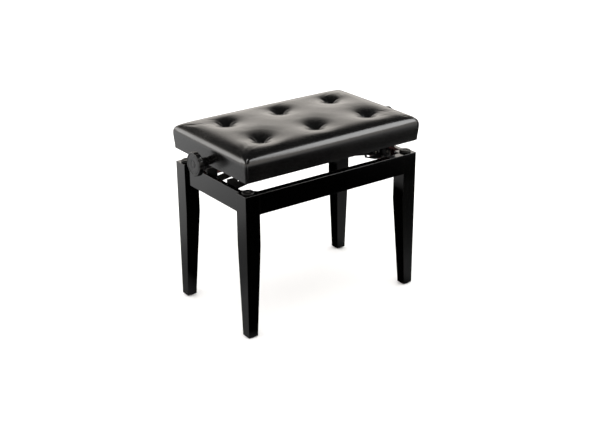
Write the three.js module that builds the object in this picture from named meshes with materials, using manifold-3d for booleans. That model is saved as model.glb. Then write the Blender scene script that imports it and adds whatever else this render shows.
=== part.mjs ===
// Height-adjustable piano bench: four tapered wooden legs joined by aprons, a button-tufted
// seat, and a steel scissor lift driven by a threaded spindle with a hand knob at each end.
// Millimetres, +Z up. The origin is on the floor under the middle of the seat, +X along the
// seat's long side and -Y towards the player's front edge. The seat stands 30 mm above its
// lowest position.
import * as THREE from "three";
import { mergeVertices } from "three/addons/utils/BufferGeometryUtils.js";
import Module from "manifold-3d";

const wasm = await Module();
wasm.setup();

// ---------------------------------------------------------------- driving dimensions
const frame = { length: 550, depth: 330, top: 390 }; // over the legs
const leg = { top: 42, foot: 28, taperStart: 252 };
const glide = { radius: 12, height: 3 };
const apron = { thickness: 20, height: 55, setback: 1 }; // front and rear
const endApron = { thickness: 13, setback: 8 };
const seat = { length: 550, depth: 340, bottom: 427, sideTop: 468, crown: 499, corner: 9 };
const seatBox = { skin: 2, railThickness: 18, boardBottom: 458, boardThickness: 12 };
const tuft = { spacingX: 170, spacingY: 158, radius: 34, depth: 22 };
const button = { radius: 9, thickness: 5 };
const lift = { pivotX: -232, sliderX: 229, lowerZ: 366, upperZ: 444, down: 30, up: 70 };
const arm = { width: 18, thickness: 4, innerY: 36, outerY: 42 };
const rod = { radius: 4, clearance: 0.3, half: 54 };
const web = { y: 48, sheet: 3 }; // the upright sheets that carry the rods, front and rear
const spindle = { radius: 6, half: 300, z: 438 };
const knob = { radius: 31.5, length: 40.5, disc: 13, face: 320, flutes: 10, fluteDepth: 1.4 };
const bumper = { radius: 15.5, height: 6.7, recess: 6.5, recessDepth: 3.2 };
const gap = 0.3; // between solids that touch on the real bench
const past = 2; // how far a cutting shape reaches beyond the faces that it cuts

// ---------------------------------------------------------------- values that follow
const liftRise = lift.upperZ - lift.lowerZ;
const armSpan = Math.hypot(lift.sliderX - lift.pivotX, liftRise); // pivot to pivot
const armAngle = Math.asin(liftRise / armSpan);
const middleX = (lift.pivotX + lift.sliderX) / 2;
const middleZ = (lift.upperZ + lift.lowerZ) / 2;
const apronBottom = frame.top - apron.height;
const innerX = frame.length / 2 - endApron.setback - endApron.thickness; // aprons' inner faces
const innerY = frame.depth / 2 - apron.setback - apron.thickness;
const spanAt = (rise) => Math.sqrt(armSpan ** 2 - (liftRise + rise) ** 2);
const slideSlack = 4;
const slideFrom = lift.pivotX + spanAt(lift.up) - slideSlack; // the sliding rods' travel
const slideTo = lift.pivotX + spanAt(-lift.down) + slideSlack;

// ---------------------------------------------------------------- materials
const standard = (color, roughness, metalness) =>
  new THREE.MeshStandardMaterial({ color, roughness, metalness });
const blackLacquer = standard(0x0a0a0b, 0.08, 0);
const blackVinyl = standard(0x161514, 0.38, 0);
const foamYellow = standard(0xd9c68c, 0.95, 0);
const plywood = standard(0x4a241c, 0.7, 0); // stained dark red-brown
const blackSteel = standard(0x17171a, 0.42, 0.6);
const brightSteel = standard(0x9a9c9e, 0.3, 1);
const blackPlastic = standard(0x141414, 0.35, 0);
const blackNylon = standard(0x1b1b1b, 0.5, 0);
const blackRubber = standard(0x0d0d0d, 0.8, 0);

// ---------------------------------------------------------------- geometry helpers
const bench = new THREE.Group();

function addPart(name, geometry, material, x = 0, y = 0, z = 0) {
  const mesh = new THREE.Mesh(geometry, material);
  mesh.name = name;
  mesh.position.set(x, y, z);
  bench.add(mesh);
  return mesh;
}

function toSolid(geometry) {
  const plain = geometry.index ? geometry.toNonIndexed() : geometry.clone();
  plain.deleteAttribute("normal");
  plain.deleteAttribute("uv");
  const merged = mergeVertices(plain, 1e-4);
  return new wasm.Manifold(
    new wasm.Mesh({
      numProp: 3,
      vertProperties: merged.attributes.position.array,
      triVerts: new Uint32Array(merged.index.array),
    }),
  );
}

function toGeometry(solid) {
  const { vertProperties, triVerts } = solid.getMesh();
  return new THREE.BufferGeometry()
    .setAttribute("position", new THREE.BufferAttribute(vertProperties, 3))
    .setIndex(new THREE.BufferAttribute(triVerts, 1));
}

// The first geometry with the others cut away.
function cut(geometry, ...tools) {
  const solid = tools.reduce((left, tool) => left.subtract(toSolid(tool)), toSolid(geometry));
  return toGeometry(solid);
}

function join(geometry, ...others) {
  const solid = others.reduce((left, other) => left.add(toSolid(other)), toSolid(geometry));
  return toGeometry(solid);
}

// A block between two corners.
function block(x0, y0, z0, x1, y1, z1) {
  return new THREE.BoxGeometry(x1 - x0, y1 - y0, z1 - z0).translate(
    (x0 + x1) / 2,
    (y0 + y1) / 2,
    (z0 + z1) / 2,
  );
}

function cylinderY(radius, y0, y1, x, z, sides = 16) {
  return new THREE.CylinderGeometry(radius, radius, Math.abs(y1 - y0), sides).translate(
    x,
    (y0 + y1) / 2,
    z,
  );
}

function cylinderX(radius, x0, x1, z, sides = 16) {
  return new THREE.CylinderGeometry(radius, radius, x1 - x0, sides)
    .rotateZ(-Math.PI / 2)
    .translate((x0 + x1) / 2, 0, z);
}

function cylinderZ(radius, z0, z1, x, y, sides = 16) {
  return new THREE.CylinderGeometry(radius, radius, z1 - z0, sides)
    .rotateX(Math.PI / 2)
    .translate(x, y, (z0 + z1) / 2);
}

// A slot with round ends through the XZ plane, cut from y0 to y1.
function slotY(radius, y0, y1, x0, x1, z, sides = 16) {
  return join(
    block(x0, Math.min(y0, y1), z - radius, x1, Math.max(y0, y1), z + radius),
    cylinderY(radius, y0, y1, x0, z, sides),
    cylinderY(radius, y0, y1, x1, z, sides),
  );
}

// A flat shape in the XY plane, raised from z0 to z1.
function prism(points, z0, z1) {
  const shape = new THREE.Shape(points.map(([x, y]) => new THREE.Vector2(x, y)));
  return new THREE.ExtrudeGeometry(shape, {
    depth: z1 - z0,
    bevelEnabled: false,
  }).translate(0, 0, z0);
}

const corners = [
  { name: "front_left", sx: -1, sy: -1 },
  { name: "front_right", sx: 1, sy: -1 },
  { name: "rear_left", sx: -1, sy: 1 },
  { name: "rear_right", sx: 1, sy: 1 },
];
const rows = [
  { name: "front", sy: -1 },
  { name: "rear", sy: 1 },
];
const ends = [
  { name: "left", sx: -1 },
  { name: "right", sx: 1 },
];

// ---------------------------------------------------------------- wooden frame
// A square leg, straight beside the aprons; below them its two inner faces taper to the foot.
function legGeometry(sx, sy) {
  const height = frame.top - glide.height;
  const geometry = new THREE.BoxGeometry(leg.top, leg.top, height, 1, 1, 2);
  const points = geometry.getAttribute("position");
  const taper = leg.top - leg.foot;
  for (let i = 0; i < points.count; i++) {
    const level = Math.sign(Math.round(points.getZ(i)));
    if (level === 0) points.setZ(i, leg.taperStart - glide.height - height / 2);
    if (level < 0 && points.getX(i) * sx < 0) points.setX(i, points.getX(i) + sx * taper);
    if (level < 0 && points.getY(i) * sy < 0) points.setY(i, points.getY(i) + sy * taper);
  }
  return geometry.translate(
    sx * (frame.length - leg.top) * 0.5,
    sy * (frame.depth - leg.top) * 0.5,
    glide.height + height / 2,
  );
}

// Corner joint: a bent steel plate across each corner, and a bolt through it into the leg.
const bracket = { reach: 98, fold: 77, foldInside: 78.2, sheet: 3, bottom: 343, top: 381 };
const legBolt = { radius: 4, depth: 26, headRadius: 8, headHeight: 6, shankPast: 2 };
const bracketZ = (bracket.bottom + bracket.top) / 2;
const bracketSkin = frame.length / 2 - innerX + gap; // its outer face, from the legs' outer faces
const bracketInside = bracketSkin + bracket.sheet;

const bracketOutline = [
  [bracket.reach, bracketSkin],
  [bracket.fold, bracketSkin],
  [bracketSkin, bracket.fold],
  [bracketSkin, bracket.reach],
  [bracketInside, bracket.reach],
  [bracketInside, bracket.foldInside],
  [bracket.foldInside, bracketInside],
  [bracket.reach, bracketInside],
];

// Distances along the corner's diagonal, from the leg's outer corner inwards.
const plateInsideAt = (bracket.foldInside + bracketInside) / Math.SQRT2;
const boltEndAt = leg.top * Math.SQRT2 - legBolt.depth;

// A cylinder along the corner's diagonal between two distances from its outer corner.
function diagonalCylinder(sx, sy, radius, from, to, sides = 16) {
  const middle = (from + to) / 2 / Math.SQRT2;
  return new THREE.CylinderGeometry(radius, radius, to - from, sides)
    .rotateZ(Math.PI / 2)
    .rotateZ(Math.atan2(-sy, -sx))
    .translate(sx * (frame.length / 2 - middle), sy * (frame.depth / 2 - middle), bracketZ);
}

// Bumper on a leg's top: a round pad with a recess for its screw.
function bumperGeometry(x, y) {
  const { radius, height, recess, recessDepth } = bumper;
  const edge = 1.2;
  const profile = [
    [0, frame.top + gap],
    [radius, frame.top + gap],
    [radius, frame.top + height - edge],
    [radius - edge, frame.top + height],
    [recess, frame.top + height],
    [recess, frame.top + height - recessDepth],
    [0, frame.top + height - recessDepth],
  ].map(([r, z]) => new THREE.Vector2(r, z));
  return new THREE.LatheGeometry(profile, 20).rotateX(Math.PI / 2).translate(x, y, 0);
}

for (const { name, sx, sy } of corners) {
  const boltHole = diagonalCylinder(
    sx, sy, legBolt.radius + gap, boltEndAt - past, plateInsideAt + past,
  );
  addPart(`leg_${name}`, cut(legGeometry(sx, sy), boltHole), blackLacquer);

  let outline = bracketOutline.map(([u, v]) => [
    sx * (frame.length / 2 - u),
    sy * (frame.depth / 2 - v),
  ]);
  if (sx * sy < 0) outline = outline.reverse();
  const plate = prism(outline, bracket.bottom, bracket.top);
  addPart(`corner_bracket_${name}`, cut(plate, boltHole), blackSteel);

  const shank = diagonalCylinder(sx, sy, legBolt.radius, boltEndAt, plateInsideAt + legBolt.shankPast);
  const headFrom = plateInsideAt + gap;
  const head = diagonalCylinder(
    sx, sy, legBolt.headRadius, headFrom, headFrom + legBolt.headHeight, 6,
  );
  addPart(`leg_bolt_${name}`, join(shank, head), brightSteel);

  const legX = sx * (frame.length - leg.top) * 0.5;
  const legY = sy * (frame.depth - leg.top) * 0.5;
  const footX = sx * (frame.length - leg.foot) * 0.5;
  const footY = sy * (frame.depth - leg.foot) * 0.5;
  addPart(`bumper_${name}`, bumperGeometry(legX, legY), blackRubber);
  addPart(
    `foot_glide_${name}`,
    cylinderZ(glide.radius, 0, glide.height - gap, footX, footY),
    blackPlastic,
  );
}

const apronTop = frame.top - gap;
for (const { name, sy } of rows) {
  const half = frame.length / 2 - leg.top - gap;
  const outer = sy * (innerY + apron.thickness);
  const [y0, y1] = [Math.min(outer, sy * innerY), Math.max(outer, sy * innerY)];
  addPart(`apron_${name}`, block(-half, y0, apronBottom, half, y1, apronTop), blackLacquer);
}
for (const { name, sx } of ends) {
  const half = frame.depth / 2 - leg.top - gap;
  const outer = sx * (innerX + endApron.thickness);
  const [x0, x1] = [Math.min(outer, sx * innerX), Math.max(outer, sx * innerX)];
  addPart(`apron_${name}`, block(x0, -half, apronBottom, x1, half, apronTop), blackLacquer);
}

// ---------------------------------------------------------------- scissor lift
const roller = { radius: 7, rimRadius: 9.5, from: 44.6, to: 53.5, play: 1.5 };
const rodHole = rod.radius + rod.clearance;
const webInside = web.y - web.sheet / 2;
const webOutside = web.y + web.sheet / 2;
const rollerSlot = roller.radius + roller.play;
const rodSlot = rod.radius + 2;

// The same geometry on the other side of the XZ plane, its faces still pointing out.
function mirrorY(geometry) {
  const mirrored = geometry.clone().scale(1, -1, 1);
  const index = mirrored.getIndex().array;
  for (let i = 0; i < index.length; i += 3) {
    [index[i + 1], index[i + 2]] = [index[i + 2], index[i + 1]];
  }
  return mirrored;
}

// A flat sheet in the XZ plane from an outline of x and z, between y0 and y1.
function sheetXZ(points, y0, y1) {
  const shape = new THREE.Shape(points.map(([x, z]) => new THREE.Vector2(x, z)));
  return new THREE.ExtrudeGeometry(shape, { depth: y1 - y0, bevelEnabled: false })
    .rotateX(Math.PI / 2)
    .translate(0, y1, 0);
}

// Base bracket: a steel plate on each end apron's inner face, with two ears that carry a rod.
// The left ears hold the fixed pivot, and the right ears have slots for the rollers. An ear is
// level underneath from the plate to bendX, and then rises to its tip.
const baseBracket = { halfWidth: 66, bottom: 345, top: 386, earBottom: 346, earTop: 397 };
const leftEar = { bendX: lift.pivotX - 2, tipX: lift.pivotX + 11, tipBottom: 356 };
const rightEar = { bendX: lift.sliderX, tipX: slideFrom - rollerSlot - 5, tipBottom: 358 };

function baseBracketGeometry(sx) {
  const face = sx * (innerX - gap);
  const inside = face - sx * web.sheet;
  const [x0, x1] = [Math.min(face, inside), Math.max(face, inside)];
  const { halfWidth, bottom, top, earBottom, earTop } = baseBracket;
  const plate = block(x0, -halfWidth, bottom, x1, halfWidth, top);
  const { bendX, tipX, tipBottom } = sx < 0 ? leftEar : rightEar;
  const root = (x0 + x1) / 2;
  const outline = [
    [root, earBottom],
    [bendX, earBottom],
    [tipX, tipBottom],
    [tipX, earTop],
    [root, earTop],
  ];
  if (sx < 0) outline.reverse();
  const ears = [
    sheetXZ(outline, webInside, webOutside),
    sheetXZ(outline, -webOutside, -webInside),
  ];
  const through = webOutside + past;
  const opening =
    sx < 0
      ? cylinderY(rodHole, -through, through, lift.pivotX, lift.lowerZ)
      : slotY(rollerSlot, -through, through, slideFrom, slideTo, lift.lowerZ);
  return cut(join(plate, ...ears), opening);
}

for (const { name, sx } of ends) {
  addPart(`base_bracket_${name}`, baseBracketGeometry(sx), blackSteel);
}

// Top rail: an angle under the seat board. Its left hole holds the fixed rod.
const topRail = { bottom: 430, half: 252, flange: 20 };

function topRailGeometry() {
  const top = seatBox.boardBottom - gap;
  const { bottom, half, flange } = topRail;
  const body = join(
    block(-half, webInside, bottom, half, webOutside, top),
    block(-half, webInside, top - web.sheet, half, webOutside + flange, top),
  );
  return cut(
    body,
    cylinderY(rodHole, webInside - past, webOutside + past, lift.pivotX, lift.upperZ),
    slotY(rodSlot, webInside - past, webOutside + past, slideFrom, slideTo, lift.upperZ),
  );
}

// Scissor arm: a flat bar with round ends between two pivots in the XZ plane. The inner arms
// rise to the right and the outer arms fall to the right. An inner arm's right end has an
// oblong hole, where the drive nut bar works it.
const centrePin = { radius: 4, headRadius: 7, play: 1.5, inHead: 2, outHead: 1.6, overlap: 0.5 };
const oblong = { radius: rod.radius + 1.3, half: 3.2 };

function armGeometry(y, rising, centreHole, rightHole) {
  const half = armSpan / 2;
  const y0 = y - arm.thickness / 2;
  const y1 = y + arm.thickness / 2;
  const bar = slotY(arm.width / 2, y0, y1, -half, half, 0);
  const drilled = cut(
    bar,
    cylinderY(rodHole, y0 - past, y1 + past, -half, 0),
    rightHole(y0 - past, y1 + past, half),
    cylinderY(centreHole, y0 - past, y1 + past, 0, 0),
  );
  return drilled.rotateY(rising ? -armAngle : armAngle).translate(middleX, 0, middleZ);
}

const roundHole = (y0, y1, x) => cylinderY(rodHole, y0, y1, x, 0);
const oblongHole = (y0, y1, x) =>
  slotY(oblong.radius, y0, y1, x - oblong.half, x + oblong.half, 0);

for (const { name, sy } of rows) {
  const topRailHere = sy > 0 ? topRailGeometry() : mirrorY(topRailGeometry());
  addPart(`top_rail_${name}`, topRailHere, blackSteel);

  const tight = centrePin.radius + gap;
  const loose = centrePin.radius + centrePin.play;
  const innerArm = armGeometry(sy * arm.innerY, true, tight, oblongHole);
  const outerArm = armGeometry(sy * arm.outerY, false, loose, roundHole);
  addPart(`inner_arm_${name}`, innerArm, blackSteel);
  addPart(`outer_arm_${name}`, outerArm, blackSteel);

  const near = sy * (arm.innerY - arm.thickness / 2 - gap);
  const far = sy * (arm.outerY + arm.thickness / 2 + gap);
  const { radius, headRadius, inHead, outHead, overlap } = centrePin;
  const pin = join(
    cylinderY(radius, near - sy * overlap, far + sy * overlap, middleX, middleZ),
    cylinderY(headRadius, near - sy * inHead, near, middleX, middleZ),
    cylinderY(headRadius, far, far + sy * outHead, middleX, middleZ),
  );
  addPart(`centre_pin_${name}`, pin, brightSteel);
}

// Rods across the lift. The lower left one is the fixed pivot, the lower right one rolls.
const lowerRod = (x) => cylinderY(rod.radius, -rod.half, rod.half, x, lift.lowerZ);
addPart("lower_pivot_rod", lowerRod(lift.pivotX), brightSteel);
addPart("roller_rod", lowerRod(lift.sliderX), brightSteel);

// Flanged nylon roller: it runs in the base bracket's slot, its rim outside the ear.
function rollerGeometry(sy) {
  const rimFrom = webOutside + gap;
  const profile = [
    [rodHole, roller.from],
    [roller.radius, roller.from],
    [roller.radius, rimFrom],
    [roller.rimRadius, rimFrom],
    [roller.rimRadius, roller.to],
    [rodHole, roller.to],
    [rodHole, roller.from],
  ].map(([radius, along]) => new THREE.Vector2(radius, along));
  const turned = new THREE.LatheGeometry(profile, 16);
  if (sy < 0) turned.rotateX(Math.PI);
  return turned.translate(lift.sliderX, 0, lift.lowerZ);
}

for (const { name, sy } of rows) addPart(`roller_${name}`, rollerGeometry(sy), blackNylon);

// A rod with a block in its middle for the spindle, which passes a little below the rod.
const crossBlock = { length: 26, width: 30, bottom: 426, top: 455 };

function crossBarGeometry(x, boreRadius) {
  const halfLength = crossBlock.length / 2;
  const halfWidth = crossBlock.width / 2;
  const middle = block(
    x - halfLength, -halfWidth, crossBlock.bottom,
    x + halfLength, halfWidth, crossBlock.top,
  );
  const cross = join(middle, cylinderY(rod.radius, -rod.half, rod.half, x, lift.upperZ));
  const hole = cylinderX(boreRadius, x - halfLength - past, x + halfLength + past, spindle.z);
  return cut(cross, hole);
}

const bearingBar = crossBarGeometry(lift.pivotX, spindle.radius + gap);
const driveNutBar = crossBarGeometry(lift.sliderX, spindle.radius + gap);
addPart("bearing_bar", bearingBar, blackSteel);
addPart("drive_nut_bar", driveNutBar, blackSteel);
addPart(
  "spindle",
  cylinderX(spindle.radius, -spindle.half, spindle.half, spindle.z),
  brightSteel,
);

// Thrust collars hold the spindle lengthwise against the bearing bar.
const collar = { radius: 10, length: 8 };
for (const { name, sx } of ends) {
  const from = lift.pivotX + sx * (crossBlock.length / 2 + gap);
  const to = from + sx * collar.length;
  const ring = cylinderX(collar.radius, Math.min(from, to), Math.max(from, to), spindle.z);
  const reach = collar.length + past;
  const hole = cylinderX(spindle.radius + gap, from - reach, from + reach, spindle.z);
  addPart(`thrust_collar_${name}`, cut(ring, hole), brightSteel);
}

// Hand knob: a thick fluted disc on a tapering hub, with a blind bore for the spindle.
function knobGeometry(sx) {
  const { radius, length, disc, face, flutes, fluteDepth } = knob;
  const discFrom = length - disc;
  const bevel = 1.5;
  const hub = [
    [0, 0],
    [11, 0],
    [12, 2],
    [13, discFrom * 0.6],
    [22, discFrom],
    [22, discFrom + bevel],
    [0, discFrom + bevel],
  ].map(([r, along]) => new THREE.Vector2(r, along));
  const pointsPerFlute = 6;
  const count = flutes * pointsPerFlute;
  const outline = Array.from({ length: count }, (_, i) => {
    const turn = (i / count) * 2 * Math.PI;
    const dip = fluteDepth * Math.max(0, Math.cos(flutes * turn)) ** 2;
    const r = radius - bevel - dip;
    return new THREE.Vector2(r * Math.cos(turn), r * Math.sin(turn));
  });
  const grip = new THREE.ExtrudeGeometry(new THREE.Shape(outline), {
    depth: disc - 2 * bevel,
    bevelThickness: bevel,
    bevelSize: bevel,
    bevelSegments: 1,
  }).translate(0, 0, discFrom + bevel);
  const turnedHub = new THREE.LatheGeometry(hub, 24).rotateX(Math.PI / 2);
  const boreRadius = spindle.radius + gap;
  const boreDepth = spindle.half - (face - length) + gap;
  const hole = new THREE.CylinderGeometry(boreRadius, boreRadius, 2 * boreDepth, 16)
    .rotateX(Math.PI / 2);
  return cut(join(turnedHub, grip), hole)
    .rotateY((sx * Math.PI) / 2)
    .translate(sx * (face - length), 0, spindle.z);
}

for (const { name, sx } of ends) addPart(`knob_${name}`, knobGeometry(sx), blackPlastic);

// ---------------------------------------------------------------- seat
const boxHalfX = seat.length / 2 - seatBox.skin;
const boxHalfY = seat.depth / 2 - seatBox.skin;
const boardTop = seatBox.boardBottom + seatBox.boardThickness;
const railTop = seatBox.boardBottom - gap;
const railInsideX = boxHalfX - seatBox.railThickness;
const bush = { hole: 8.4, flangeRadius: 10.5, flange: 2.5 };
const chamfer = 5; // on the box's upright corners, under the cover
const boxOutline = clippedRectangle(boxHalfX, boxHalfY, chamfer, 1);

addPart("seat_board", prism(boxOutline, seatBox.boardBottom, boardTop), plywood);
for (const { name, sy } of rows) {
  const inside = sy * (boxHalfY - seatBox.railThickness);
  const beyond = sy * seat.depth;
  const strip = block(
    -seat.length, Math.min(inside, beyond), seat.bottom - past,
    seat.length, Math.max(inside, beyond), railTop + past,
  );
  const rail = toSolid(prism(boxOutline, seat.bottom, railTop)).intersect(toSolid(strip));
  addPart(`seat_rail_${name}`, toGeometry(rail), plywood);
}
for (const { name, sx } of ends) {
  const halfY = boxHalfY - seatBox.railThickness - gap;
  const [low, high] = [sx * railInsideX, sx * boxHalfX].sort((a, b) => a - b);
  const body = block(low, -halfY, seat.bottom, high, halfY, railTop);
  const hole = cylinderX(bush.hole, low - past, high + past, spindle.z);
  addPart(`seat_rail_${name}`, cut(body, hole), plywood);
  addPart(`spindle_bush_${name}`, bushGeometry(sx), blackPlastic);
}

// Bush in an end rail: its flange covers the edge of the hole in the cover.
function bushGeometry(sx) {
  const flangeInside = sx * (seat.length / 2 + gap);
  const flangeOutside = flangeInside + sx * bush.flange;
  const inside = sx * railInsideX;
  const along = (a, b, radius) =>
    cylinderX(radius, Math.min(a, b), Math.max(a, b), spindle.z);
  return cut(
    join(
      along(inside, flangeInside, bush.hole - gap),
      along(flangeInside, flangeOutside, bush.flangeRadius),
    ),
    along(inside - sx * past, flangeOutside + sx * past, spindle.radius + gap),
  );
}

// The cushion's outer form: upright sides, a rounded shoulder mitred at the corners, and a
// funnel at each button. Inset shrinks it all round; it reaches down to floorZ.
const shoulder = { inset: 36, segments: 6 };

// The form's outline across one axis, halfWidth to each side of the middle.
function crownOutline(halfWidth, inset) {
  const across = shoulder.inset - inset;
  const rise = seat.crown - seat.sideTop - inset;
  const points = [[halfWidth, seat.bottom - 30]];
  for (let i = 0; i <= shoulder.segments; i++) {
    const turn = ((i / shoulder.segments) * Math.PI) / 2;
    points.push([
      halfWidth - across * (1 - Math.cos(turn)),
      seat.sideTop + rise * Math.sin(turn),
    ]);
  }
  const mirrored = points.map(([x, z]) => [-x, z]).reverse();
  return [...points, ...mirrored];
}

function cushionForm(inset, floorZ) {
  const halfX = seat.length / 2 - inset;
  const halfY = seat.depth / 2 - inset;
  const far = seat.length;
  const alongY = sheetXZ(crownOutline(halfX, inset), -far, far);
  const alongX = sheetXZ(crownOutline(halfY, inset), -far, far).rotateZ(Math.PI / 2);
  const corner = Math.max(seat.corner - inset, 1);
  const plan = prism(clippedRectangle(halfX, halfY, corner, 4), floorZ, seat.crown + 1);
  const form = toSolid(alongY).intersect(toSolid(alongX)).intersect(toSolid(plan));
  const funnels = tuftPlaces.map(({ px, py }) => toSolid(funnel(px, py, inset)));
  return toGeometry(funnels.reduce((left, hollow) => left.subtract(hollow), form));
}

// A rectangle whose corners are rounded off in the given number of steps.
function clippedRectangle(halfX, halfY, radius, steps) {
  const quarters = [[1, 1], [-1, 1], [-1, -1], [1, -1]];
  return quarters.flatMap(([sx, sy], quarter) =>
    Array.from({ length: steps + 1 }, (_, i) => {
      const turn = ((quarter + i / steps) * Math.PI) / 2;
      return [
        sx * (halfX - radius) + radius * Math.cos(turn),
        sy * (halfY - radius) + radius * Math.sin(turn),
      ];
    }),
  );
}

const tuftPlaces = [-1, 0, 1].flatMap((column) =>
  rows.map(({ name, sy }) => ({
    name: `${name}_${["left", "middle", "right"][column + 1]}`,
    px: column * tuft.spacingX,
    py: (sy * tuft.spacingY) / 2,
  })),
);

// The hollow that a button pulls into the top, wider by inset for the layers below.
function funnel(x, y, inset) {
  const above = 2;
  const slope = (tuft.radius - button.radius - 1) / tuft.depth;
  const floor = seat.crown - tuft.depth - inset;
  const wall = button.radius + 1 + inset;
  const profile = [
    [0, floor],
    [wall, floor],
    [wall + slope * (tuft.depth + above), floor + tuft.depth + above + inset],
    [0, floor + tuft.depth + above + inset],
  ].map(([r, z]) => new THREE.Vector2(r, z));
  return new THREE.LatheGeometry(profile, 16).rotateX(Math.PI / 2).translate(x, y, 0);
}

const foamBottom = boardTop + gap;
addPart("foam_pad", cushionForm(seatBox.skin + gap, foamBottom), foamYellow);

// The vinyl cover: a skin over the foam and down the rails, open underneath.
const hollow = cushionForm(seatBox.skin, seat.bottom - 10);
const boxHollow = prism(
  clippedRectangle(boxHalfX + gap, boxHalfY + gap, chamfer, 1),
  seat.bottom - 20,
  boardTop + gap,
);
const spindleHole = cylinderX(bush.hole, -seat.length, seat.length, spindle.z);
addPart(
  "seat_cover",
  cut(cushionForm(0, seat.bottom), hollow, boxHollow, spindleHole),
  blackVinyl,
);

for (const { name, px, py } of tuftPlaces) {
  const seatZ = seat.crown - tuft.depth + gap;
  const edge = 1.6;
  const profile = [
    [0, seatZ],
    [button.radius - 1, seatZ],
    [button.radius, seatZ + edge],
    [button.radius - 2, seatZ + button.thickness - 1],
    [button.radius * 0.4, seatZ + button.thickness],
    [0, seatZ + button.thickness],
  ].map(([r, z]) => new THREE.Vector2(r, z));
  const dome = new THREE.LatheGeometry(profile, 16).rotateX(Math.PI / 2).translate(px, py, 0);
  addPart(`button_${name}`, dome, blackVinyl);
}

export default bench;
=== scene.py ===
"""Piano bench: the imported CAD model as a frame, with its upholstery, lacquer and hardware.

Metres, +Z up. The bench's long side runs along X and its front faces -Y.
"""

import math

import bmesh
import bpy
import numpy as np
from mathutils import Matrix, Vector


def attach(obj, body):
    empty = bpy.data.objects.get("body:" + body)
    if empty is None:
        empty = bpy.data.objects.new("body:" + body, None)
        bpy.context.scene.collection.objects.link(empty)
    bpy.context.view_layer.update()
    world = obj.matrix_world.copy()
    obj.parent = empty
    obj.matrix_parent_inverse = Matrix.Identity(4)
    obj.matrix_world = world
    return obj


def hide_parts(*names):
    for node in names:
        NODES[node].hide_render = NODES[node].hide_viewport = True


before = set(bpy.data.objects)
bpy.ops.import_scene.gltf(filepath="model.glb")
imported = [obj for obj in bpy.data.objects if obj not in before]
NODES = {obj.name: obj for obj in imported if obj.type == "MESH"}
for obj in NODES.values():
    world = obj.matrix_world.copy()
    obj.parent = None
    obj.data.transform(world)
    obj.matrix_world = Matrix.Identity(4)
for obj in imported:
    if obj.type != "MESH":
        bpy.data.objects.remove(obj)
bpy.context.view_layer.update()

MM = 0.001
MERGE_WITHIN = 0.002 * MM  # the CAD meshes' triangles share no vertices until they are merged

CORNERS = [(f"{row}_{end}", sx, sy) for row, sy in (("front", -1), ("rear", 1))
           for end, sx in (("left", -1), ("right", 1))]
ROWS = [("front", -1), ("rear", 1)]
ENDS = [("left", -1), ("right", 1)]

# ---------------------------------------------------------------- camera
AZIMUTH, ELEVATION, ROLL = math.radians(-35.87), math.radians(22.9), math.radians(-0.43)
CAMERA_DISTANCE = 3.019
CAMERA_TARGET = Vector((-0.0056, 0.0040, 0.2148))
LENS = 67.67  # on a 36 mm sensor


def direction(azimuth, elevation):
    """The unit vector towards an azimuth (0 in front, 90 at the right) and elevation."""
    return Vector((
        math.sin(azimuth) * math.cos(elevation),
        -math.cos(azimuth) * math.cos(elevation),
        math.sin(elevation),
    ))


def link(thing):
    bpy.context.scene.collection.objects.link(thing)
    return thing


def make_camera():
    back = direction(AZIMUTH, ELEVATION)
    data = bpy.data.cameras.new("camera")
    data.lens = LENS
    camera = link(bpy.data.objects.new("camera", data))
    camera.location = CAMERA_TARGET + back * CAMERA_DISTANCE
    level = (-back).to_track_quat("-Z", "Y").to_matrix()
    camera.rotation_euler = (level @ Matrix.Rotation(ROLL, 3, "Z")).to_euler()
    bpy.context.scene.camera = camera


make_camera()


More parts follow.
